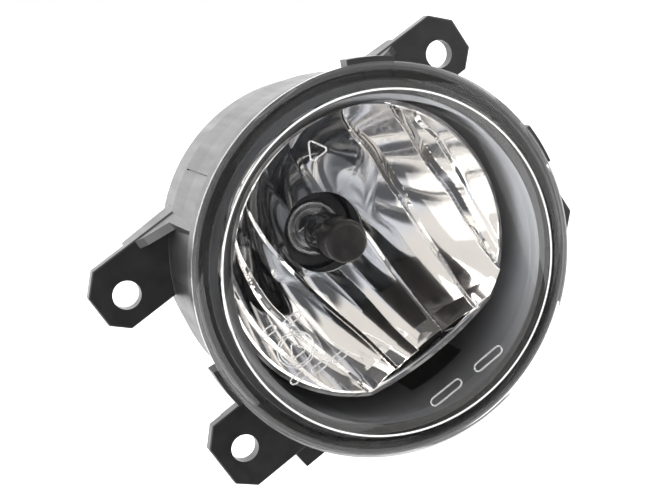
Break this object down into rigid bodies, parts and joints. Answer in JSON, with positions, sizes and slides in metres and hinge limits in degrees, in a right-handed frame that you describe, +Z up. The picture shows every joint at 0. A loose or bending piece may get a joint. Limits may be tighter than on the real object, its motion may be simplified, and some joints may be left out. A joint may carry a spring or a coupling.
{
  "type": "fog light",
  "caption": "Round automotive fog light: clear lens on a black drum housing with bolt tabs, aimable fluted reflector and twist-in bulb.",
  "frame": {"origin": "centre of the four tab holes, on the front face of the tabs", "axes": "+Z up, the lens looks along -Y, +X to the viewer's right when facing the lens"},
  "size_m": [0.1264, 0.1004, 0.1015],
  "materials": {
    "black_plastic": "fine satin moulding, glossy inside",
    "clear_lens": "polished clear",
    "black_glue": "cured bead",
    "aluminised": "vacuum-coated mirror",
    "steel": "turned",
    "zinc_steel": "zinc plated",
    "white_nylon": "moulded",
    "rubber": "moulded, matt",
    "seal_rubber": "silicone",
    "quartz": "clear, black coat on the tip",
    "tungsten": "drawn wire",
    "base_plastic": "moulded",
    "tinned_brass": "tin plated",
    "membrane": "matt"
  },
  "bodies": {
    "lamp_body": {"housing": "black_plastic", "lens": "clear_lens", "lens_sealant": "black_glue", "pivot_pins": "steel", "adjuster_o_ring": "rubber", "adjuster_washer": "zinc_steel", "neck_boot": "rubber", "vent_membrane": "membrane", "vent_cap": "rubber"},
    "reflector_unit": {"reflector": "aluminised", "pivot_bushes": "white_nylon"},
    "bulb": {"bulb_glass": "quartz", "bulb_filament": "tungsten", "bulb_supports": "tungsten", "bulb_collar": "steel", "bulb_base": "base_plastic", "bulb_o_ring": "seal_rubber", "bulb_terminals": "tinned_brass"},
    "adjuster": {"adjuster_screw": "zinc_steel", "adjuster_clip": "steel"},
    "travelling_nut": {"adjuster_nut": "white_nylon"}
  },
  "joints": [
    {"name": "reflector_tilt", "type": "hinge", "parent": "lamp_body", "child": "reflector_unit", "pos_m": [0, 0.011, 0.0053], "axis": [1, 0, 0], "range_deg": [-3, 3], "deforming": ["neck_boot"]},
    {"name": "bulb_twist", "type": "hinge", "parent": "reflector_unit", "child": "bulb", "pos_m": [0, 0.03, 0.0053], "axis": [0, 1, 0], "range_deg": [0, 45]},
    {"name": "adjuster_turn", "type": "hinge", "parent": "lamp_body", "child": "adjuster", "pos_m": [0, 0.025, -0.0344], "axis": [0, 1, 0], "range_deg": [-375, 375]},
    {"name": "nut_travel", "type": "slide", "parent": "lamp_body", "child": "travelling_nut", "axis": [0, 1, 0], "range_m": [-0.0021, 0.0021]}
  ],
  "couplings": [
    {"joint": "adjuster_turn", "follows": "reflector_tilt", "ratio": -124.72},
    {"joint": "nut_travel", "follows": "reflector_tilt", "m_per_rad": 0.0397}
  ]
}
